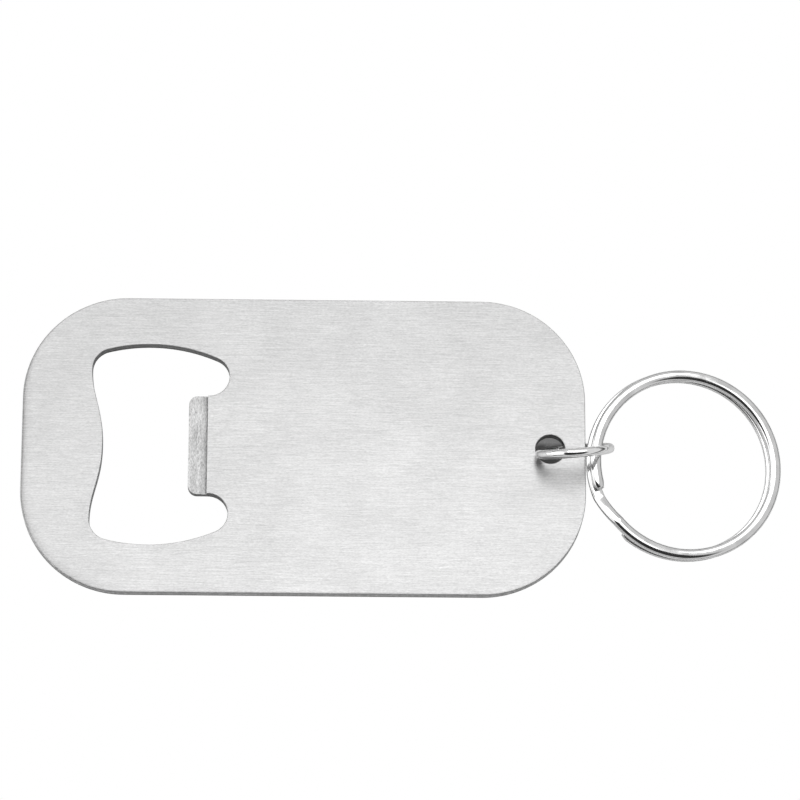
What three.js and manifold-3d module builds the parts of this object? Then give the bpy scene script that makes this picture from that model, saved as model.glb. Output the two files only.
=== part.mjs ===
// Keychain bottle opener: a flat stainless plate with a crown-cap opening, and a key ring on a jump ring.
// Millimetres, +Z up. The origin is the middle of the plate's underside, +X runs to the key-ring end
// and +Z leaves the brushed front face.

import * as THREE from "three";
import * as BufferGeometryUtils from "three/addons/utils/BufferGeometryUtils.js";
import Module from "manifold-3d";

// Plate
const PLATE_LENGTH = 80;
const PLATE_WIDTH = 43.2;
const PLATE_THICKNESS = 1.8;
const PLATE_CORNER_RADIUS = 14.8;
const EDGE_BREAK = 0.15; // every sheared edge is tumbled off by this much

// Crown-cap opening. The lower half mirrors the upper half about the long axis.
const OPENING_CROWN_RADIUS = 24; // the long, nearly straight side
const OPENING_CROWN_CENTRE = [-22, -9.3];
const OPENING_CORNER_RADIUS = 3;
const OPENING_CORNER_CENTRE = [-27.2, 11.05];
const NOTCH_RADIUS = 2.87; // relief lobe beside the lip
const NOTCH_CENTRE = [-13.55, 10.07];
const FULCRUM_TIP_X = -28.53; // crest of the bulge that rests on top of the cap
const FULCRUM_EASE_OUT = 4; // how far the bulge's curve holds its direction at the corner end
const FULCRUM_EASE_IN = 5.2; // and at the crest

// Lifting lip: a tongue on the plate that catches under the cap's skirt
const LIP_EDGE_X = -16.38;
const LIP_CORNER_RADIUS = 1.3;
const LIP_ROOT_X = -13.68;
const LIP_STEP = 0.6; // depth of the coined recess at the lip's root
const LIP_EDGE_DEPTH = 0.28; // depth of the recess at the lip's free edge

// Hole for the jump ring
const HOLE_CENTRE = [35, -0.25];
const HOLE_RADIUS = 2.12;

// Jump ring: round wire bent to a circle, with a butt seam
const JUMP_WIRE_RADIUS = 0.68;
const JUMP_RADIUS = 4.95;
const JUMP_CENTRE = [38.35, -0.98, 3.6];
const JUMP_YAW_DEG = 5.7;
const JUMP_LEAN_DEG = 17.9;
const JUMP_SEAM_DEG = -118; // where the seam is, up from the long axis
const JUMP_SEAM_GAP = 0.12;

// Key ring: flattened wire coiled on edge, nearly two turns
const KEY_RADIUS = 13.07;
const KEY_WIRE_WIDTH = 1.6;
const KEY_WIRE_HEIGHT = 1.0;
const KEY_COIL_PITCH = 1.06;
const KEY_COIL_SHIFT = 0.37; // how far the lower coil lies to the -X side of the upper one
const KEY_SECTION_POWER = 0.8; // below 1 the oval section fills out toward a rounded rectangle
const KEY_UPPER_END_DEG = 198;
const KEY_STEP_FOOT_DEG = 203; // the wire steps from one coil to the other between these two bends
const KEY_STEP_HEAD_DEG = 221;
const KEY_LOWER_END_DEG = 229.5;
const KEY_CENTRE = [53.986, -2.32, 1.2];
const KEY_TILT_DEG = 8; // far side down
const KEY_HEADING_DEG = -8.5; // direction from the jump ring to the far side

const STEEL = { color: 0xc9cacb, roughness: 0.36, metalness: 1 };
const WIRE_STEEL = { color: 0xb9babc, roughness: 0.22, metalness: 1 };
const NICKEL = { color: 0xd0d1d3, roughness: 0.12, metalness: 1 };

const degrees = THREE.MathUtils.degToRad;

const wasm = await Module();
wasm.setup();

function toManifold(geometry) {
  const bare = geometry.clone();
  bare.deleteAttribute("normal");
  bare.deleteAttribute("uv");
  const merged = BufferGeometryUtils.mergeVertices(bare, 1e-4);
  return new wasm.Manifold(
    new wasm.Mesh({
      numProp: 3,
      vertProperties: new Float32Array(merged.attributes.position.array),
      triVerts: new Uint32Array(merged.index.array),
    }),
  );
}

function toGeometry(manifold) {
  const mesh = manifold.getMesh();
  const geometry = new THREE.BufferGeometry();
  geometry.setAttribute("position", new THREE.BufferAttribute(mesh.vertProperties, 3));
  geometry.setIndex(new THREE.BufferAttribute(mesh.triVerts, 1));
  geometry.computeVertexNormals();
  return geometry;
}

function namedMesh(name, geometry, look) {
  const mesh = new THREE.Mesh(geometry, new THREE.MeshStandardMaterial(look));
  mesh.name = name;
  return mesh;
}

// ---- plate ----

function roundedRectangle(length, width, radius) {
  const x = length / 2 - radius;
  const y = width / 2 - radius;
  const shape = new THREE.Shape();
  shape.absarc(x, -y, radius, -Math.PI / 2, 0, false);
  shape.absarc(x, y, radius, 0, Math.PI / 2, false);
  shape.absarc(-x, y, radius, Math.PI / 2, Math.PI, false);
  shape.absarc(-x, -y, radius, Math.PI, 1.5 * Math.PI, false);
  shape.closePath();
  return shape;
}

// Direction, from one circle's centre to another's, in which a small circle touches a large one from inside.
function tangentAngle(large, small) {
  return Math.atan2(small[1] - large[1], small[0] - large[0]);
}

function upperHalfOfOpening() {
  const [cornerX, cornerY] = OPENING_CORNER_CENTRE;
  const [notchX, notchY] = NOTCH_CENTRE;
  const notchEnd = tangentAngle(OPENING_CROWN_CENTRE, NOTCH_CENTRE);
  const cornerStart = tangentAngle(OPENING_CROWN_CENTRE, OPENING_CORNER_CENTRE);
  const lipHalf = notchY - NOTCH_RADIUS;
  const half = new THREE.Path();
  half.moveTo(LIP_EDGE_X, 0);
  half.lineTo(LIP_EDGE_X, lipHalf - LIP_CORNER_RADIUS);
  half.absarc(
    LIP_EDGE_X + LIP_CORNER_RADIUS,
    lipHalf - LIP_CORNER_RADIUS,
    LIP_CORNER_RADIUS,
    Math.PI,
    Math.PI / 2,
    true,
  );
  half.absarc(notchX, notchY, NOTCH_RADIUS, -Math.PI / 2, notchEnd, false);
  half.absarc(...OPENING_CROWN_CENTRE, OPENING_CROWN_RADIUS, notchEnd, cornerStart, false);
  half.absarc(cornerX, cornerY, OPENING_CORNER_RADIUS, cornerStart, Math.PI, false);
  half.bezierCurveTo(
    cornerX - OPENING_CORNER_RADIUS,
    cornerY - FULCRUM_EASE_OUT,
    FULCRUM_TIP_X,
    FULCRUM_EASE_IN,
    FULCRUM_TIP_X,
    0,
  );
  return half.getPoints(14);
}

function openingOutline() {
  const upper = upperHalfOfOpening();
  const lower = upper
    .slice(1, -1)
    .reverse()
    .map((point) => new THREE.Vector2(point.x, -point.y));
  return new THREE.Path([...upper, ...lower]);
}

function plateBlank() {
  const outline = roundedRectangle(PLATE_LENGTH, PLATE_WIDTH, PLATE_CORNER_RADIUS);
  const hole = new THREE.Path();
  hole.absarc(...HOLE_CENTRE, HOLE_RADIUS, 0, 2 * Math.PI, true);
  outline.holes.push(openingOutline(), hole);
  const blank = new THREE.ExtrudeGeometry(outline, {
    depth: PLATE_THICKNESS - 2 * EDGE_BREAK,
    curveSegments: 24,
    bevelEnabled: true,
    bevelThickness: EDGE_BREAK,
    bevelSize: EDGE_BREAK,
    bevelOffset: -EDGE_BREAK,
    bevelSegments: 2,
  });
  blank.translate(0, 0, EDGE_BREAK);
  return blank;
}

// The wedge of metal that coining removes from the lip: deepest at the root, shallower at the free edge.
function lipRecess() {
  const reach = 1; // past the free edge and above the face, so that the cut is clean
  const slope = (LIP_STEP - LIP_EDGE_DEPTH) / (LIP_ROOT_X - LIP_EDGE_X);
  const outerX = LIP_EDGE_X - reach;
  const outerDepth = LIP_EDGE_DEPTH - slope * reach;
  const profile = new THREE.Shape();
  profile.moveTo(LIP_ROOT_X, PLATE_THICKNESS + reach);
  profile.lineTo(outerX, PLATE_THICKNESS + reach);
  profile.lineTo(outerX, PLATE_THICKNESS - outerDepth);
  profile.lineTo(LIP_ROOT_X, PLATE_THICKNESS - LIP_STEP);
  profile.closePath();
  const halfWidth = NOTCH_CENTRE[1] - NOTCH_RADIUS + EDGE_BREAK;
  const wedge = new THREE.ExtrudeGeometry(profile, { depth: 2 * halfWidth, bevelEnabled: false });
  wedge.rotateX(Math.PI / 2);
  wedge.translate(0, halfWidth, 0);
  return wedge;
}

function openerPlate() {
  const body = toManifold(plateBlank()).subtract(toManifold(lipRecess()));
  return namedMesh("opener_plate", toGeometry(body), STEEL);
}

// ---- jump ring ----

class ArcPath extends THREE.Curve {
  constructor(radius, start, end) {
    super();
    this.radius = radius;
    this.start = start;
    this.end = end;
  }

  getPoint(t, target = new THREE.Vector3()) {
    const angle = THREE.MathUtils.lerp(this.start, this.end, t);
    return target.set(this.radius * Math.cos(angle), this.radius * Math.sin(angle), 0);
  }
}

function circleShape(radius) {
  const shape = new THREE.Shape();
  shape.absarc(0, 0, radius, 0, 2 * Math.PI, false);
  return shape;
}

// The ring stands up through the hole: turned a little about Z, with its top leaning to the -Y side.
function standJumpRing(geometry) {
  geometry.rotateX(Math.PI / 2);
  geometry.rotateX(degrees(JUMP_LEAN_DEG));
  geometry.rotateZ(degrees(JUMP_YAW_DEG));
  geometry.translate(...JUMP_CENTRE);
  return geometry;
}

function jumpRing() {
  const seam = degrees(JUMP_SEAM_DEG);
  const halfGap = JUMP_SEAM_GAP / 2 / JUMP_RADIUS;
  const wire = new THREE.ExtrudeGeometry(circleShape(JUMP_WIRE_RADIUS), {
    steps: 84,
    curveSegments: 18,
    extrudePath: new ArcPath(JUMP_RADIUS, seam + halfGap, seam + 2 * Math.PI - halfGap),
  });
  return namedMesh("jump_ring", standJumpRing(wire), WIRE_STEEL);
}

// ---- key ring ----

// Nearly two turns, seen from above clockwise from the upper end: a flat upper coil, one short step
// down between the two ends, and a flat lower coil.
class CoilPath extends THREE.Curve {
  constructor() {
    super();
    this.upperEnd = degrees(KEY_UPPER_END_DEG);
    this.turn = 4 * Math.PI - degrees(KEY_LOWER_END_DEG - KEY_UPPER_END_DEG);
    this.stepStart = 2 * Math.PI - degrees(KEY_STEP_HEAD_DEG - KEY_UPPER_END_DEG);
    this.stepLength = degrees(KEY_STEP_HEAD_DEG - KEY_STEP_FOOT_DEG);
  }

  getPoint(t, target = new THREE.Vector3()) {
    const travel = t * this.turn;
    const angle = this.upperEnd - travel;
    const down = THREE.MathUtils.clamp((travel - this.stepStart) / this.stepLength, 0, 1) - 0.5;
    return target.set(
      KEY_RADIUS * Math.cos(angle) - KEY_COIL_SHIFT * down,
      KEY_RADIUS * Math.sin(angle),
      -KEY_COIL_PITCH * down,
    );
  }

  // Keeps the section square to the ring: its width points away from the centre all the way round.
  computeFrenetFrames(steps) {
    const frames = { tangents: [], normals: [], binormals: [] };
    for (let step = 0; step <= steps; step++) {
      const tangent = this.getTangentAt(step / steps);
      const outward = new THREE.Vector3(-tangent.y, tangent.x, 0).normalize();
      frames.tangents.push(tangent);
      frames.normals.push(outward);
      frames.binormals.push(new THREE.Vector3().crossVectors(tangent, outward).normalize());
    }
    return frames;
  }
}

function filledOval(width, height, power) {
  const corners = 20;
  const points = [];
  for (let k = 0; k < corners; k++) {
    const angle = (2 * Math.PI * k) / corners;
    const x = Math.sign(Math.cos(angle)) * Math.abs(Math.cos(angle)) ** power;
    const y = Math.sign(Math.sin(angle)) * Math.abs(Math.sin(angle)) ** power;
    points.push(new THREE.Vector2((x * width) / 2, (y * height) / 2));
  }
  return new THREE.Shape(points);
}

function layKeyRing(geometry) {
  geometry.rotateZ(degrees(-KEY_HEADING_DEG));
  geometry.rotateY(degrees(KEY_TILT_DEG));
  geometry.rotateZ(degrees(KEY_HEADING_DEG));
  geometry.translate(...KEY_CENTRE);
  return geometry;
}

function splitRing() {
  const coil = new THREE.ExtrudeGeometry(
    filledOval(KEY_WIRE_WIDTH, KEY_WIRE_HEIGHT, KEY_SECTION_POWER),
    { steps: 210, extrudePath: new CoilPath() },
  );
  return namedMesh("split_ring", layKeyRing(coil), NICKEL);
}

const opener = new THREE.Group();
opener.name = "keychain_bottle_opener";
opener.add(openerPlate(), jumpRing(), splitRing());

export default opener;
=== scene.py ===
"""Looks for the keychain bottle opener: a brushed plate, a wire jump ring and a polished split ring."""

import math

import bmesh
import bpy
from mathutils import Matrix, Vector
from mathutils.geometry import tessellate_polygon


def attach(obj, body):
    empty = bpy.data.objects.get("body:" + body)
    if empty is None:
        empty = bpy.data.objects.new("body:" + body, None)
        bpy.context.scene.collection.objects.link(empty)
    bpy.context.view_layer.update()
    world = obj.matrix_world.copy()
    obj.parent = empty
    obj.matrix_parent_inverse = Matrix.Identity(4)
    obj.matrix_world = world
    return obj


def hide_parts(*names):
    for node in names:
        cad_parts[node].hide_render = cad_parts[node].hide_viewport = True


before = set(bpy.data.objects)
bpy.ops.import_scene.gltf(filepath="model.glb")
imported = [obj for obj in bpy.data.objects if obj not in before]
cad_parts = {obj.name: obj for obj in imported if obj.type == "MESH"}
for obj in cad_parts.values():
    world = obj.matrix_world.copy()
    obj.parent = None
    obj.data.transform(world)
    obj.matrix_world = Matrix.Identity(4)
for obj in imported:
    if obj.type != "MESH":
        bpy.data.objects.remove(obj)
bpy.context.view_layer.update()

MM = 0.001

# Plate, in millimetres
PLATE_LENGTH = 80.0
PLATE_WIDTH = 43.2
PLATE_THICKNESS = 1.8
PLATE_CORNER_RADIUS = 14.8
BACK_EDGE_RADIUS = 0.1
FRONT_EDGE_RADIUS = 0.1
ROLL_WIDTH = 1.4  # margin of the front face that blanking rolled over, and how far down
ROLL_DROP = 0.08

# Crown-cap opening; its lower half mirrors its upper half
CROWN_CENTRE = (-22.0, -9.3)
CROWN_RADIUS = 24.0
CORNER_CENTRE = (-27.2, 11.05)
CORNER_RADIUS = 3.0
NOTCH_CENTRE = (-13.55, 10.07)
NOTCH_RADIUS = 2.87
FULCRUM_TIP_X = -28.53
FULCRUM_EASE_OUT = 4.0
FULCRUM_EASE_IN = 5.2
LIP_EDGE_X = -16.38
LIP_CORNER_RADIUS = 1.3
LIP_ROOT_X = -13.68
LIP_STEP = 0.6
LIP_EDGE_DEPTH = 0.28

# Facets round each part of the plate's outlines and up its edges
PLATE_CORNER_FACETS = 40
LIP_CORNER_FACETS = 12
NOTCH_FACETS = 36
CROWN_FACETS = 30
CORNER_FACETS = 16
FULCRUM_FACETS = 28
HOLE_FACETS = 64
EDGE_FACETS = 4
ROLL_FACETS = 6

# Box that holds every wall of the two cut-outs and none of the plate's outer edge
CUT_OUTS_X = (-32.0, 37.3)
CUT_OUTS_HALF_WIDTH = 15.0
WALL_UP_LIMIT = 0.35  # how much a wall's normal may lean up or down
LIP_UP_LIMIT = 0.9  # how much the coined lip's normal points up, at least

# Jump ring and its hole
HOLE_CENTRE = (35.0, -0.25)
HOLE_RADIUS = 2.12
JUMP_WIRE_RADIUS = 0.68
JUMP_RADIUS = 4.95
JUMP_CENTRE = (38.35, -0.98, 3.6)
JUMP_YAW_DEG = 5.7
JUMP_LEAN_DEG = 17.9
JUMP_SEAM_DEG = -118.0
JUMP_SEAM_GAP = 0.12
JUMP_STEPS = 180
JUMP_SECTION_POINTS = 28

# Split ring; the wire steps from the upper coil down to the lower one between its two bends
KEY_RADIUS = 13.07
KEY_WIRE_WIDTH = 1.6
KEY_WIRE_HEIGHT = 1.0
KEY_COIL_PITCH = 1.06
KEY_COIL_SHIFT = 0.37
KEY_UPPER_END_DEG = 198.0
KEY_STEP_FOOT_DEG = 203.0
KEY_STEP_HEAD_DEG = 221.0
KEY_LOWER_END_DEG = 229.5
KEY_CENTRE = (53.986, -2.32, 1.2)
KEY_TILT_DEG = 8.0
KEY_HEADING_DEG = -8.5
KEY_STEPS = 560
KEY_SECTION_POINTS = 36
DOME_POWER = 0.85  # the wire's domed side: 1 is an ellipse, smaller is squarer
FLAT_POWER = 0.35
KEY_END_TAPER = 1.6  # length over which an end narrows
KEY_END_START = 0.35  # where on that ease the end itself is
KEY_END_WIDTH = 0.55  # narrowest width and height, as shares of the wire's own
KEY_END_HEIGHT = 0.7

# Camera: a long lens, a little to the -Y side of straight above; lengths in millimetres
CAMERA_TILT_DEG = 16.0
CAMERA_ROLL_DEG = -0.554
CAMERA_TURN_DEG = 1.273
CAMERA_DISTANCE = 567.9
CAMERA_SHIFT = (-13.673, -6.905)
CAMERA_LENS_MM = 179.6
SENSOR_MM = 36.0
NEAREST_SEEN = 10.0
FARTHEST_SEEN = 20000.0

# Studio, in metres; starts and ends are of ramps over a cosine or an openness
FLOOR_SIZE = 4.0
FLOOR_Z = -0.0009
FLOOR_SLOPE_DEG = 1.3
FLOOR_GREY = 0.9
FLOOR_ROUGHNESS = 0.9
FLOOR_SHINE = 0.1
COVER_REACH = 0.012
COVER_SAMPLES = 32
COVER_START = 0.2
COVER_END = 0.29
SHADE_FADE = (0.0011, 0.0017)
SHADE_RADIANCE = (0.05, 0.18)
SOFTBOX_SIZE = (0.52, 0.42)
SOFTBOX_PLACE = (0.03, 0.2, 0.628)
SOFTBOX_RADIANCE = 1.95
WALL_RADIANCE = 0.8
HORIZON_RADIANCE = 0.12
HORIZON_START = 0.14
HORIZON_END = 0.32
DARK_RADIANCE = 0.04
DARK_SIDE = (-0.04, -0.42, 0.91)
DARK_START = 0.81
DARK_END = 0.85
CARD_SIDE = (-0.88, 0.05, 0.47)
CARD_START = 0.84
CARD_END = 0.9
CARD_RADIANCE = 1.6

# Finish and painted light and shade: tones are shares of full brightness; depths, reaches and places are
# in millimetres
PAINTED_SHADE_END_TONE = 0.96  # painted shade: the plate darker at its opening end, easing back to 1
PAINTED_SHADE_END_X = -36.0
PAINTED_SHADE_FADE_X = -5.0
PAINTED_LIGHT_SIDE_TONE = 1.1  # painted light along the plate's -Y side, and painted shade along its +Y side
PAINTED_SHADE_SIDE_TONE = 0.88
LIP_ROOT_SHADE_TONE = 0.6  # painted shade: the lip darker at its root, easing back to 1
LIP_SHADE_START_X = -14.5
OUTER_WALL_TONES = (0.33, 0.53)
# The cut-out walls' tones are darker than the outer wall's: painted shade inside the cut-outs.
CUT_WALL_SHADE_TONES = (0.13, 0.26)
WALL_BAND_TONES = (1.2, 0.65)  # half-way up a wall, and near its edges
WALL_BAND_REACH = (0.18, 0.72)
BRUSH_DEPTH = 0.003
TEAR_DEPTH = 0.01
SCORE_DEPTH = 0.02
DENT_DEPTH = 0.3
NOISE_ROUGHNESS = 0.55
NOISE_LOW = 0.3  # most of a noise's values lie between these two
NOISE_HIGH = 0.7
BRUSH_STRETCH = 0.85  # how far highlights spread across the brush lines, up to 1
SCORE_STRETCH = 0.5


# ---- camera and studio ----


def make_camera():
    """Stands where the opener is seen almost face on, from slightly below."""
    turn = (
        Matrix.Rotation(math.radians(CAMERA_ROLL_DEG), 4, "Z")
        @ Matrix.Rotation(math.radians(CAMERA_TURN_DEG), 4, "Y")
        @ Matrix.Rotation(math.radians(-CAMERA_TILT_DEG), 4, "X")
    )
    shift = Vector((CAMERA_SHIFT[0], CAMERA_SHIFT[1], -CAMERA_DISTANCE)) * MM
    data = bpy.data.cameras.new("camera")
    data.lens = CAMERA_LENS_MM
    data.sensor_width = SENSOR_MM
    data.clip_start = NEAREST_SEEN * MM
    data.clip_end = FARTHEST_SEEN * MM
    camera = bpy.data.objects.new("camera", data)
    camera.matrix_world = (Matrix.Translation(shift) @ turn).inverted()
    bpy.context.collection.objects.link(camera)
    bpy.context.scene.camera = camera


def ramp_between(nodes, start, end, low, high):
    """A ramp node from one grey level to another."""
    ramp = nodes.new("ShaderNodeValToRGB")
    for element, place, level in zip(ramp.color_ramp.elements, (start, end), (low, high)):
        element.position = place
        element.color = (level, level, level, 1)
    return ramp


def spread_over(nodes, source, target):
    """A node that takes source, a low and a high value, to target, and holds its ends beyond them."""
    spread = nodes.new("ShaderNodeMapRange")
    for socket, value in zip(("From Min", "From Max", "To Min", "To Max"), (*source, *target)):
        spread.inputs[socket].default_value = value
    return spread


def show_camera(nodes, links, lit, seen, output):
    """Rays from the camera meet the shader seen, and all others meet the shader lit."""
    path = nodes.new("ShaderNodeLightPath")
    mix = nodes.new("ShaderNodeMixShader")
    links.new(path.outputs["Is Camera Ray"], mix.inputs[0])
    links.new(lit.outputs[0], mix.inputs[1])
    links.new(seen.outputs[0], mix.inputs[2])
    links.new(mix.outputs[0], output.inputs["Surface"])


def shaded_white(nodes, links):
    """Plain white, but in deep shade where the opener all but covers it, as under the ring hole."""
    parts = nodes.new("ShaderNodeSeparateXYZ")
    links.new(nodes.new("ShaderNodeTexCoord").outputs["Object"], parts.inputs[0])
    shade = spread_over(nodes, SHADE_FADE, SHADE_RADIANCE)
    links.new(parts.outputs["Y"], shade.inputs["Value"])
    covered = nodes.new("ShaderNodeAmbientOcclusion")
    covered.inputs["Distance"].default_value = COVER_REACH
    covered.samples = COVER_SAMPLES
    openness = spread_over(nodes, (COVER_START, COVER_END), (0.0, 1.0))
    links.new(covered.outputs["AO"], openness.inputs["Value"])
    white = nodes.new("ShaderNodeMath")
    white.operation = "MAXIMUM"
    links.new(shade.outputs["Result"], white.inputs[0])
    links.new(openness.outputs["Result"], white.inputs[1])
    plain = nodes.new("ShaderNodeEmission")
    links.new(white.outputs[0], plain.inputs["Color"])
    return plain


def make_floor():
    """A pale table top. The camera sees it plain white, but where the opener all but covers it."""
    data = bpy.data.meshes.new("floor")
    half = FLOOR_SIZE / 2
    slope = math.tan(math.radians(FLOOR_SLOPE_DEG))
    plan = ((-half, -half), (half, -half), (half, half), (-half, half))
    data.from_pydata([(x, y, FLOOR_Z - x * slope) for x, y in plan], [], [(0, 1, 2, 3)])
    floor = bpy.data.objects.new("floor", data)
    bpy.context.collection.objects.link(floor)
    material = bpy.data.materials.new("pale_table")
    material.use_nodes = True
    nodes = material.node_tree.nodes
    links = material.node_tree.links
    pale = nodes["Principled BSDF"]
    pale.inputs["Base Color"].default_value = (FLOOR_GREY, FLOOR_GREY, FLOOR_GREY, 1)
    pale.inputs["Roughness"].default_value = FLOOR_ROUGHNESS
    pale.inputs["Specular IOR Level"].default_value = FLOOR_SHINE
    show_camera(nodes, links, pale, shaded_white(nodes, links), nodes["Material Output"])
    data.materials.append(material)


def make_softbox():
    """One large soft light overhead, behind the opener as the camera sees it."""
    data = bpy.data.lights.new("softbox", "AREA")
    data.shape = "RECTANGLE"
    data.size = SOFTBOX_SIZE[0]
    data.size_y = SOFTBOX_SIZE[1]
    data.energy = SOFTBOX_RADIANCE * math.pi * SOFTBOX_SIZE[0] * SOFTBOX_SIZE[1]
    light = bpy.data.objects.new("softbox", data)
    light.location = SOFTBOX_PLACE
    light.rotation_euler = Vector(SOFTBOX_PLACE).to_track_quat("Z", "Y").to_euler()
    bpy.context.collection.objects.link(light)


def toward(nodes, links, place, direction):
    """How nearly a direction in the studio agrees with this one: the cosine between them."""
    cosine = nodes.new("ShaderNodeVectorMath")
    cosine.operation = "DOT_PRODUCT"
    cosine.inputs[1].default_value = Vector(direction).normalized()
    links.new(place, cosine.inputs[0])
    return cosine.outputs["Value"]


def combined(nodes, links, operation, a, b):
    """Two grey levels put together by this operation."""
    node = nodes.new("ShaderNodeVectorMath")
    node.operation = operation
    links.new(a, node.inputs[0])
    links.new(b, node.inputs[1])
    return node.outputs[0]


def make_world():
    """Pale walls over a dim horizon, with a dark side and a bright card for polished wire to reflect.

    The camera sees only plain white.
    """
    world = bpy.data.worlds.new("studio")
    world.use_nodes = True
    bpy.context.scene.world = world
    nodes = world.node_tree.nodes
    links = world.node_tree.links
    nodes.clear()
    place = nodes.new("ShaderNodeTexCoord").outputs["Generated"]
    dark = ramp_between(nodes, DARK_START, DARK_END, 1.0, DARK_RADIANCE / WALL_RADIANCE)
    links.new(toward(nodes, links, place, DARK_SIDE), dark.inputs[0])
    card = ramp_between(nodes, CARD_START, CARD_END, 0.0, CARD_RADIANCE)
    links.new(toward(nodes, links, place, CARD_SIDE), card.inputs[0])
    walls = ramp_between(nodes, HORIZON_START, HORIZON_END, HORIZON_RADIANCE, WALL_RADIANCE)
    links.new(toward(nodes, links, place, (0, 0, 1)), walls.inputs[0])
    darkened = combined(nodes, links, "MULTIPLY", dark.outputs["Color"], walls.outputs["Color"])
    with_card = combined(nodes, links, "MAXIMUM", darkened, card.outputs["Color"])
    studio = nodes.new("ShaderNodeBackground")
    links.new(with_card, studio.inputs["Color"])
    plain = nodes.new("ShaderNodeBackground")
    plain.inputs["Color"].default_value = (1, 1, 1, 1)
    show_camera(nodes, links, studio, plain, nodes.new("ShaderNodeOutputWorld"))


# ---- mesh helpers ----


def piece_from_bmesh(name, mesh, body, node, materials):
    """Turns a bmesh in millimetres into a finished piece that stands for a CAD node."""
    bmesh.ops.recalc_face_normals(mesh, faces=mesh.faces)
    data = bpy.data.meshes.new(name)
    mesh.to_mesh(data)
    mesh.free()
    data.transform(Matrix.Scale(MM, 4))
    for material in materials:
        data.materials.append(material)
    piece = bpy.data.objects.new(name, data)
    bpy.context.collection.objects.link(piece)
    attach(piece, body)
    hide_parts(node)
    return piece


def sweep(mesh, sections):
    """Joins rings of points into a closed bar with capped ends."""
    rings = [[mesh.verts.new(point) for point in section] for section in sections]
    for ring, following in zip(rings, rings[1:]):
        count = len(ring)
        for k in range(count):
            after = (k + 1) % count
            mesh.faces.new((ring[k], ring[after], following[after], following[k])).smooth = True
    mesh.faces.new(rings[0])
    mesh.faces.new(rings[-1])


def arc(centre, radius, start, end, steps):
    angles = [start + (end - start) * k / steps for k in range(steps + 1)]
    return [(centre[0] + radius * math.cos(a), centre[1] + radius * math.sin(a)) for a in angles]


def bezier(a, b, c, d, steps):
    points = []
    for k in range(steps + 1):
        t = k / steps
        weights = ((1 - t) ** 3, 3 * t * (1 - t) ** 2, 3 * t * t * (1 - t), t**3)
        points.append(tuple(sum(w * p[i] for w, p in zip(weights, (a, b, c, d))) for i in (0, 1)))
    return points


# ---- plate ----


def outer_outline():
    """The plate's rounded rectangle, anticlockwise."""
    x = PLATE_LENGTH / 2 - PLATE_CORNER_RADIUS
    y = PLATE_WIDTH / 2 - PLATE_CORNER_RADIUS
    points = []
    for quarter, centre in enumerate(((x, -y), (x, y), (-x, y), (-x, -y))):
        start = (quarter - 1) * math.pi / 2
        points += arc(centre, PLATE_CORNER_RADIUS, start, start + math.pi / 2, PLATE_CORNER_FACETS)
    return points


def touching_angle(large, small):
    """Direction in which two circles that touch from inside meet, from the large one's centre."""
    return math.atan2(small[1] - large[1], small[0] - large[0])


def opening_outline():
    """The crown-cap opening, clockwise: from the lip round the upper half, then its mirror image."""
    notch_end = touching_angle(CROWN_CENTRE, NOTCH_CENTRE)
    corner_start = touching_angle(CROWN_CENTRE, CORNER_CENTRE)
    lip_half = NOTCH_CENTRE[1] - NOTCH_RADIUS
    lip_corner = (LIP_EDGE_X + LIP_CORNER_RADIUS, lip_half - LIP_CORNER_RADIUS)
    fulcrum_start = (CORNER_CENTRE[0] - CORNER_RADIUS, CORNER_CENTRE[1])
    upper = [(LIP_EDGE_X, 0.0)]
    upper += arc(lip_corner, LIP_CORNER_RADIUS, math.pi, math.pi / 2, LIP_CORNER_FACETS)
    upper += arc(NOTCH_CENTRE, NOTCH_RADIUS, -math.pi / 2, notch_end, NOTCH_FACETS)
    upper += arc(CROWN_CENTRE, CROWN_RADIUS, notch_end, corner_start, CROWN_FACETS)[1:]
    upper += arc(CORNER_CENTRE, CORNER_RADIUS, corner_start, math.pi, CORNER_FACETS)[1:]
    upper += bezier(
        fulcrum_start,
        (fulcrum_start[0], fulcrum_start[1] - FULCRUM_EASE_OUT),
        (FULCRUM_TIP_X, FULCRUM_EASE_IN),
        (FULCRUM_TIP_X, 0.0),
        FULCRUM_FACETS,
    )[1:]
    lower = [(x, -y) for x, y in reversed(upper[1:-1])]
    return list(reversed(upper + lower))


def hole_outline():
    return arc(HOLE_CENTRE, HOLE_RADIUS, 0.0, -2 * math.pi, HOLE_FACETS)[:-1]


def drawn_in(outline, inset):
    """Moves an outline into the metal, which lies to the left of its direction of travel."""
    moved = []
    count = len(outline)
    for k, (x, y) in enumerate(outline):
        before = Vector((x, y)) - Vector(outline[k - 1])
        after = Vector(outline[(k + 1) % count]) - Vector((x, y))
        along = (before.normalized() + after.normalized()).normalized()
        moved.append((x - along.y * inset, y + along.x * inset))
    return moved


def edge_levels():
    """(inset, height, share of the roll) up an edge: rounded at the back and at the front."""
    back = []
    front = []
    for k in range(EDGE_FACETS + 1):
        angle = k * math.pi / 2 / EDGE_FACETS
        rise = 1 - math.cos(angle)
        ease = 1 - math.sin(angle)
        back.append((BACK_EDGE_RADIUS * ease, BACK_EDGE_RADIUS * rise, 0.0))
        front.append((FRONT_EDGE_RADIUS * rise, PLATE_THICKNESS - FRONT_EDGE_RADIUS * ease, 1.0))
    return back + front


def rolled_margin():
    """(inset, height, share of the roll) across the margin that blanking has rolled over a little."""
    levels = []
    for k in range(1, ROLL_FACETS + 1):
        share = k / ROLL_FACETS
        inset = FRONT_EDGE_RADIUS + (ROLL_WIDTH - FRONT_EDGE_RADIUS) * share
        levels.append((inset, PLATE_THICKNESS, (1 - share) ** 2))
    return levels


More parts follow.
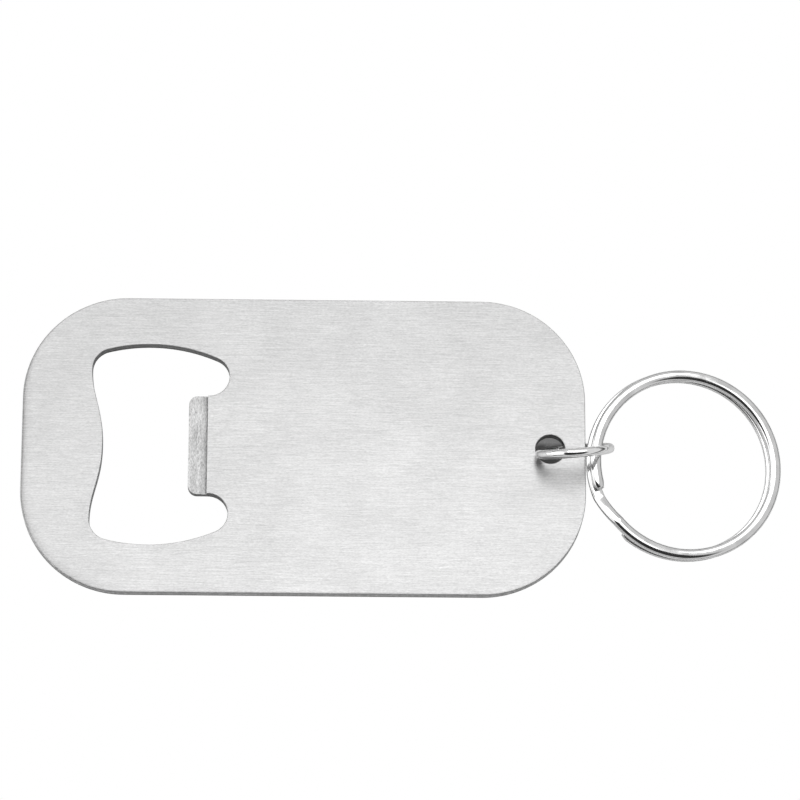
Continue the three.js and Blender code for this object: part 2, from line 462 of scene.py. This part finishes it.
def walls_up(mesh, outline, levels, drop):
    """The walls that one outline makes, as rings of corners. The roll is fullest where they face -X."""
    unit_inset = 1.0
    inner = drawn_in(outline, unit_inset)
    facing = [max(0.0, inside[0] - edge[0]) for inside, edge in zip(inner, outline)]
    rings = []
    for inset, height, share in levels:
        place = zip(drawn_in(outline, inset), facing)
        rings.append([mesh.verts.new((x, y, height - drop * share * left)) for (x, y), left in place])
    for ring, above in zip(rings, rings[1:]):
        count = len(ring)
        for k in range(count):
            after = (k + 1) % count
            mesh.faces.new((ring[k], ring[after], above[after], above[k])).smooth = True
    return rings


def plate_blank():
    """The plate before its lip is coined, rolled over at the end opposite the rings."""
    mesh = bmesh.new()
    walls = [
        walls_up(mesh, outer_outline(), edge_levels() + rolled_margin(), ROLL_DROP),
        walls_up(mesh, opening_outline(), edge_levels(), 0.0),
        walls_up(mesh, hole_outline(), edge_levels(), 0.0),
    ]
    back, front = 0, -1
    for level in (back, front):
        loops = [rings[level] for rings in walls]
        flat = [vert for loop in loops for vert in loop]
        for a, b, c in tessellate_polygon([[vert.co.copy() for vert in loop] for loop in loops]):
            mesh.faces.new((flat[a], flat[b], flat[c]))
    return mesh


def lip_cutter():
    """The wedge of metal that coining takes off the lip."""
    reach = 1.0  # how far the wedge stands out past the metal
    slope = (LIP_STEP - LIP_EDGE_DEPTH) / (LIP_ROOT_X - LIP_EDGE_X)
    outer_x = LIP_EDGE_X - reach
    outer_depth = LIP_EDGE_DEPTH - slope * reach
    profile = [
        (LIP_ROOT_X, PLATE_THICKNESS + reach),
        (outer_x, PLATE_THICKNESS + reach),
        (outer_x, PLATE_THICKNESS - outer_depth),
        (LIP_ROOT_X, PLATE_THICKNESS - LIP_STEP),
    ]
    half = NOTCH_CENTRE[1] - NOTCH_RADIUS + FRONT_EDGE_RADIUS
    mesh = bmesh.new()
    ends = [[mesh.verts.new((x * MM, y * MM, z * MM)) for x, z in profile] for y in (-half, half)]
    count = len(profile)
    for k in range(count):
        after = (k + 1) % count
        mesh.faces.new((ends[0][k], ends[0][after], ends[1][after], ends[1][k]))
    mesh.faces.new(ends[0])
    mesh.faces.new(ends[1])
    bmesh.ops.recalc_face_normals(mesh, faces=mesh.faces)
    data = bpy.data.meshes.new("lip_cutter")
    mesh.to_mesh(data)
    mesh.free()
    cutter = bpy.data.objects.new("lip_cutter", data)
    bpy.context.collection.objects.link(cutter)
    return cutter


def cut(piece, cutter):
    """Takes the cutter's shape out of the piece, for good, and removes the cutter."""
    modifier = piece.modifiers.new("cut", "BOOLEAN")
    modifier.object = cutter
    modifier.solver = "EXACT"
    bpy.context.view_layer.update()
    result = bpy.data.meshes.new_from_object(piece.evaluated_get(bpy.context.evaluated_depsgraph_get()))
    piece.modifiers.clear()
    piece.data = result
    bpy.data.objects.remove(cutter)


def sort_plate_faces(data):
    """Gives the walls and the coined lip their own materials, by their places in make_plate's list."""
    outer_wall, shaded_cut_wall, lip = 1, 2, 3
    lip_top = PLATE_THICKNESS - LIP_EDGE_DEPTH / 2
    for polygon in data.polygons:
        x, y, z = polygon.center / MM
        in_cut_out = CUT_OUTS_X[0] < x < CUT_OUTS_X[1] and abs(y) < CUT_OUTS_HALF_WIDTH
        on_lip = LIP_EDGE_X < x < LIP_ROOT_X and abs(y) < NOTCH_CENTRE[1] and z < lip_top
        if abs(polygon.normal.z) < WALL_UP_LIMIT:
            polygon.material_index = shaded_cut_wall if in_cut_out else outer_wall
        if on_lip and polygon.normal.z > LIP_UP_LIMIT:
            polygon.material_index = lip


def make_plate():
    outer_wall = sheared_steel("outer_edge_wall", OUTER_WALL_TONES)
    # Painted shade: the cut-out walls take darker tones than the outer wall.
    shaded_cut_wall = sheared_steel("sheared_wall_painted_shade", CUT_WALL_SHADE_TONES)
    materials = [brushed_steel(), outer_wall, shaded_cut_wall, coined_steel()]
    blank = plate_blank()
    plate = piece_from_bmesh("brushed_plate", blank, "plate", "opener_plate", materials)
    cut(plate, lip_cutter())
    sort_plate_faces(plate.data)


# ---- rings ----


def make_jump_ring():
    """Round wire bent to a circle, standing up through the hole."""
    stand = (
        Matrix.Translation(JUMP_CENTRE)
        @ Matrix.Rotation(math.radians(JUMP_YAW_DEG), 4, "Z")
        @ Matrix.Rotation(math.radians(JUMP_LEAN_DEG), 4, "X")
        @ Matrix.Rotation(math.radians(90), 4, "X")
    )
    seam = math.radians(JUMP_SEAM_DEG)
    half_gap = JUMP_SEAM_GAP / 2 / JUMP_RADIUS
    sections = []
    for step in range(JUMP_STEPS + 1):
        angle = seam + half_gap + (2 * math.pi - 2 * half_gap) * step / JUMP_STEPS
        outward = Vector((math.cos(angle), math.sin(angle), 0))
        section = []
        for k in range(JUMP_SECTION_POINTS):
            around = 2 * math.pi * k / JUMP_SECTION_POINTS
            offset = outward * math.cos(around) + Vector((0, 0, math.sin(around)))
            section.append(stand @ (outward * JUMP_RADIUS + offset * JUMP_WIRE_RADIUS))
        sections.append(section)
    mesh = bmesh.new()
    sweep(mesh, sections)
    piece_from_bmesh("jump_ring_wire", mesh, "jump_link", "jump_ring", [polished_wire()])


def smooth_step(value):
    value = min(max(value, 0.0), 1.0)
    return value * value * (3 - 2 * value)


def half_round(width, height, crown, corners):
    """A wire section that is domed on the side crown points to (+1 up, -1 down) and flat on the other."""
    points = []
    for k in range(corners):
        angle = 2 * math.pi * (k + 0.5) / corners
        side = math.sin(angle)
        flatness = 0.5 - 0.5 * crown * math.copysign(1, side)
        power = DOME_POWER + (FLAT_POWER - DOME_POWER) * flatness
        x = math.copysign(abs(math.cos(angle)) ** power, math.cos(angle))
        y = math.copysign(abs(side) ** power, side)
        points.append((x * width / 2, y * height / 2))
    return points


def split_ring_section(travel, turn):
    """The wire's section after this much travel, in radians, from the end of the upper coil."""
    step_start = 2 * math.pi - math.radians(KEY_STEP_HEAD_DEG - KEY_UPPER_END_DEG)
    step_length = math.radians(KEY_STEP_HEAD_DEG - KEY_STEP_FOOT_DEG)
    down = min(max((travel - step_start) / step_length, 0.0), 1.0) - 0.5
    crown = -2 * down
    to_end = min(travel, turn - travel) * KEY_RADIUS
    taper = smooth_step(KEY_END_START + to_end / KEY_END_TAPER)
    width = KEY_WIRE_WIDTH * (KEY_END_WIDTH + (1 - KEY_END_WIDTH) * taper)
    crown_height = KEY_END_HEIGHT + (1 - KEY_END_HEIGHT) * taper
    angle = math.radians(KEY_UPPER_END_DEG) - travel
    outward = Vector((math.cos(angle), math.sin(angle), 0))
    centre = outward * KEY_RADIUS - Vector((KEY_COIL_SHIFT, 0, KEY_COIL_PITCH)) * down
    points = []
    for x, z in half_round(width, KEY_WIRE_HEIGHT, crown, KEY_SECTION_POINTS):
        height = z if z * crown < 0 else z * crown_height
        points.append(centre + outward * x + Vector((0, 0, height)))
    return points


def make_split_ring():
    """Nearly two turns of half-round wire: upper coil, a short step down, lower coil."""
    lay = (
        Matrix.Translation(KEY_CENTRE)
        @ Matrix.Rotation(math.radians(KEY_HEADING_DEG), 4, "Z")
        @ Matrix.Rotation(math.radians(KEY_TILT_DEG), 4, "Y")
        @ Matrix.Rotation(math.radians(-KEY_HEADING_DEG), 4, "Z")
    )
    turn = 4 * math.pi - math.radians(KEY_LOWER_END_DEG - KEY_UPPER_END_DEG)
    sections = []
    for step in range(KEY_STEPS + 1):
        section = split_ring_section(turn * step / KEY_STEPS, turn)
        sections.append([lay @ point for point in section])
    mesh = bmesh.new()
    sweep(mesh, sections)
    piece_from_bmesh("split_ring_coil", mesh, "key_ring", "split_ring", [polished_nickel()])


# ---- materials ----


class Surface:
    """One principled metal and the few nodes that vary it."""

    def __init__(self, name):
        self.material = bpy.data.materials.new(name)
        self.material.use_nodes = True
        self.nodes = self.material.node_tree.nodes
        self.links = self.material.node_tree.links
        self.shader = self.nodes["Principled BSDF"]
        self.shader.inputs["Metallic"].default_value = 1.0
        self.place = self.nodes.new("ShaderNodeTexCoord").outputs["Object"]

    def noise(self, scale, detail):
        """Noise with its own scale, per metre, along each axis."""
        stretch = self.nodes.new("ShaderNodeVectorMath")
        stretch.operation = "MULTIPLY"
        stretch.inputs[1].default_value = scale
        self.links.new(self.place, stretch.inputs[0])
        noise = self.nodes.new("ShaderNodeTexNoise")
        noise.inputs["Scale"].default_value = 1.0
        noise.inputs["Detail"].default_value = detail
        noise.inputs["Roughness"].default_value = NOISE_ROUGHNESS
        self.links.new(stretch.outputs[0], noise.inputs["Vector"])
        return noise.outputs[0]

    def along(self, axis):
        """How far along X, Y or Z a point of the piece is."""
        parts = self.nodes.new("ShaderNodeSeparateXYZ")
        self.links.new(self.place, parts.inputs[0])
        return parts.outputs[axis]

    def off(self, axis, level):
        """How far off a level along X, Y or Z a point of the piece is, either way."""
        less = self.nodes.new("ShaderNodeMath")
        less.operation = "SUBTRACT"
        less.inputs[1].default_value = level
        self.links.new(self.along(axis), less.inputs[0])
        size = self.nodes.new("ShaderNodeMath")
        size.operation = "ABSOLUTE"
        self.links.new(less.outputs[0], size.inputs[0])
        return size.outputs[0]

    def mapped(self, value, low, high, start=NOISE_LOW, end=NOISE_HIGH):
        """Spreads a value that goes from start to end over low to high."""
        spread = spread_over(self.nodes, (start, end), (low, high))
        self.links.new(value, spread.inputs["Value"])
        return spread.outputs["Result"]

    def times(self, a, b):
        product = self.nodes.new("ShaderNodeMath")
        product.operation = "MULTIPLY"
        self.links.new(a, product.inputs[0])
        self.links.new(b, product.inputs[1])
        return product.outputs[0]

    def grey(self, value):
        self.links.new(value, self.shader.inputs["Base Color"])

    def roughness(self, value):
        self.links.new(value, self.shader.inputs["Roughness"])

    def bump(self, value, depth):
        """Relief of this depth, in millimetres."""
        bump = self.nodes.new("ShaderNodeBump")
        bump.inputs["Strength"].default_value = 1.0
        bump.inputs["Distance"].default_value = depth * MM
        self.links.new(value, bump.inputs["Height"])
        self.links.new(bump.outputs[0], self.shader.inputs["Normal"])

    def stretch_highlights(self, amount, direction):
        """Makes highlights spread along this direction of the piece."""
        self.shader.inputs["Anisotropic"].default_value = amount
        along = self.nodes.new("ShaderNodeCombineXYZ")
        for axis, value in zip("XYZ", direction):
            along.inputs[axis].default_value = value
        turned = self.nodes.new("ShaderNodeVectorTransform")
        turned.vector_type = "VECTOR"
        turned.convert_from = "OBJECT"
        turned.convert_to = "WORLD"
        self.links.new(along.outputs[0], turned.inputs[0])
        self.links.new(turned.outputs[0], self.shader.inputs["Tangent"])


def brushed_steel():
    """Fine scratches along X over grain and cloudy patches, with painted shade at the -X end and along
    the +Y side, and painted light along the -Y side.
    """
    surface = Surface("brushed_steel")
    fine = surface.noise((380, 8000, 380), 3)
    grain = surface.noise((3000, 9000, 3000), 2)
    long = surface.noise((60, 5500, 60), 2)
    patches = surface.noise((110, 160, 110), 3)
    lines = surface.times(surface.mapped(fine, 0.80, 1.17), surface.mapped(grain, 0.85, 1.14))
    broad = surface.times(surface.mapped(long, 0.95, 1.04), surface.mapped(patches, 0.458, 0.51))
    # Painted shade: the face darker toward its opening end.
    end = surface.mapped(surface.along("X"), PAINTED_SHADE_END_TONE, 1.0, PAINTED_SHADE_END_X * MM, PAINTED_SHADE_FADE_X * MM)
    half = PLATE_WIDTH / 2 * MM
    # Painted light along the -Y side and painted shade along the +Y side.
    side = surface.mapped(surface.along("Y"), PAINTED_LIGHT_SIDE_TONE, PAINTED_SHADE_SIDE_TONE, -half, half)
    surface.grey(surface.times(surface.times(lines, broad), surface.times(end, side)))
    surface.roughness(surface.mapped(fine, 0.28, 0.36))
    surface.bump(fine, BRUSH_DEPTH)
    surface.stretch_highlights(BRUSH_STRETCH, (0, 1, 0))
    return surface.material


def sheared_steel(name, tones):
    """A blanked edge: fine tearing through its thickness, and a brighter band half-way up."""
    surface = Surface(name)
    tearing = surface.noise((2600, 2600, 300), 3)
    off_middle = surface.off("Z", PLATE_THICKNESS / 2 * MM)
    reach = (WALL_BAND_REACH[0] * MM, WALL_BAND_REACH[1] * MM)
    band = surface.mapped(off_middle, *WALL_BAND_TONES, *reach)
    surface.grey(surface.times(surface.mapped(tearing, *tones), band))
    surface.roughness(surface.mapped(tearing, 0.32, 0.55))
    surface.bump(tearing, TEAR_DEPTH)
    return surface.material


def coined_steel():
    """The pressed lip, scored along its length, with painted shade darkening it toward its root."""
    surface = Surface("coined_steel")
    scores = surface.noise((7500, 2600, 2600), 3)
    marks = surface.noise((3000, 350, 300), 2)
    # Painted shade: the lip darker toward its root crease.
    root = surface.mapped(surface.along("X"), 1.0, LIP_ROOT_SHADE_TONE, LIP_SHADE_START_X * MM, LIP_ROOT_X * MM)
    tone = surface.times(surface.mapped(scores, 0.19, 0.66), surface.mapped(marks, 0.78, 1.15))
    surface.grey(surface.times(tone, root))
    surface.roughness(surface.mapped(scores, 0.34, 0.55))
    surface.bump(scores, SCORE_DEPTH)
    surface.stretch_highlights(SCORE_STRETCH, (1, 0, 0))
    return surface.material


def polished_wire():
    """Bright drawn wire, faintly rubbed and a little uneven from being bent."""
    surface = Surface("polished_wire")
    rubs = surface.noise((900, 900, 900), 3)
    dents = surface.noise((380, 380, 380), 1)
    surface.grey(surface.mapped(rubs, 0.8, 0.88))
    surface.roughness(surface.mapped(rubs, 0.06, 0.16))
    surface.bump(dents, DENT_DEPTH)
    return surface.material


def polished_nickel():
    """Bright nickel plate, a little duller where the coils have rubbed."""
    surface = Surface("polished_nickel")
    rubs = surface.noise((420, 420, 1500), 3)
    surface.grey(surface.mapped(rubs, 0.58, 0.78))
    surface.roughness(surface.mapped(rubs, 0.05, 0.13))
    return surface.material


make_camera()
make_floor()
make_softbox()
make_world()
make_plate()
make_jump_ring()
make_split_ring()

bpy.context.scene.view_settings.view_transform = "Standard"
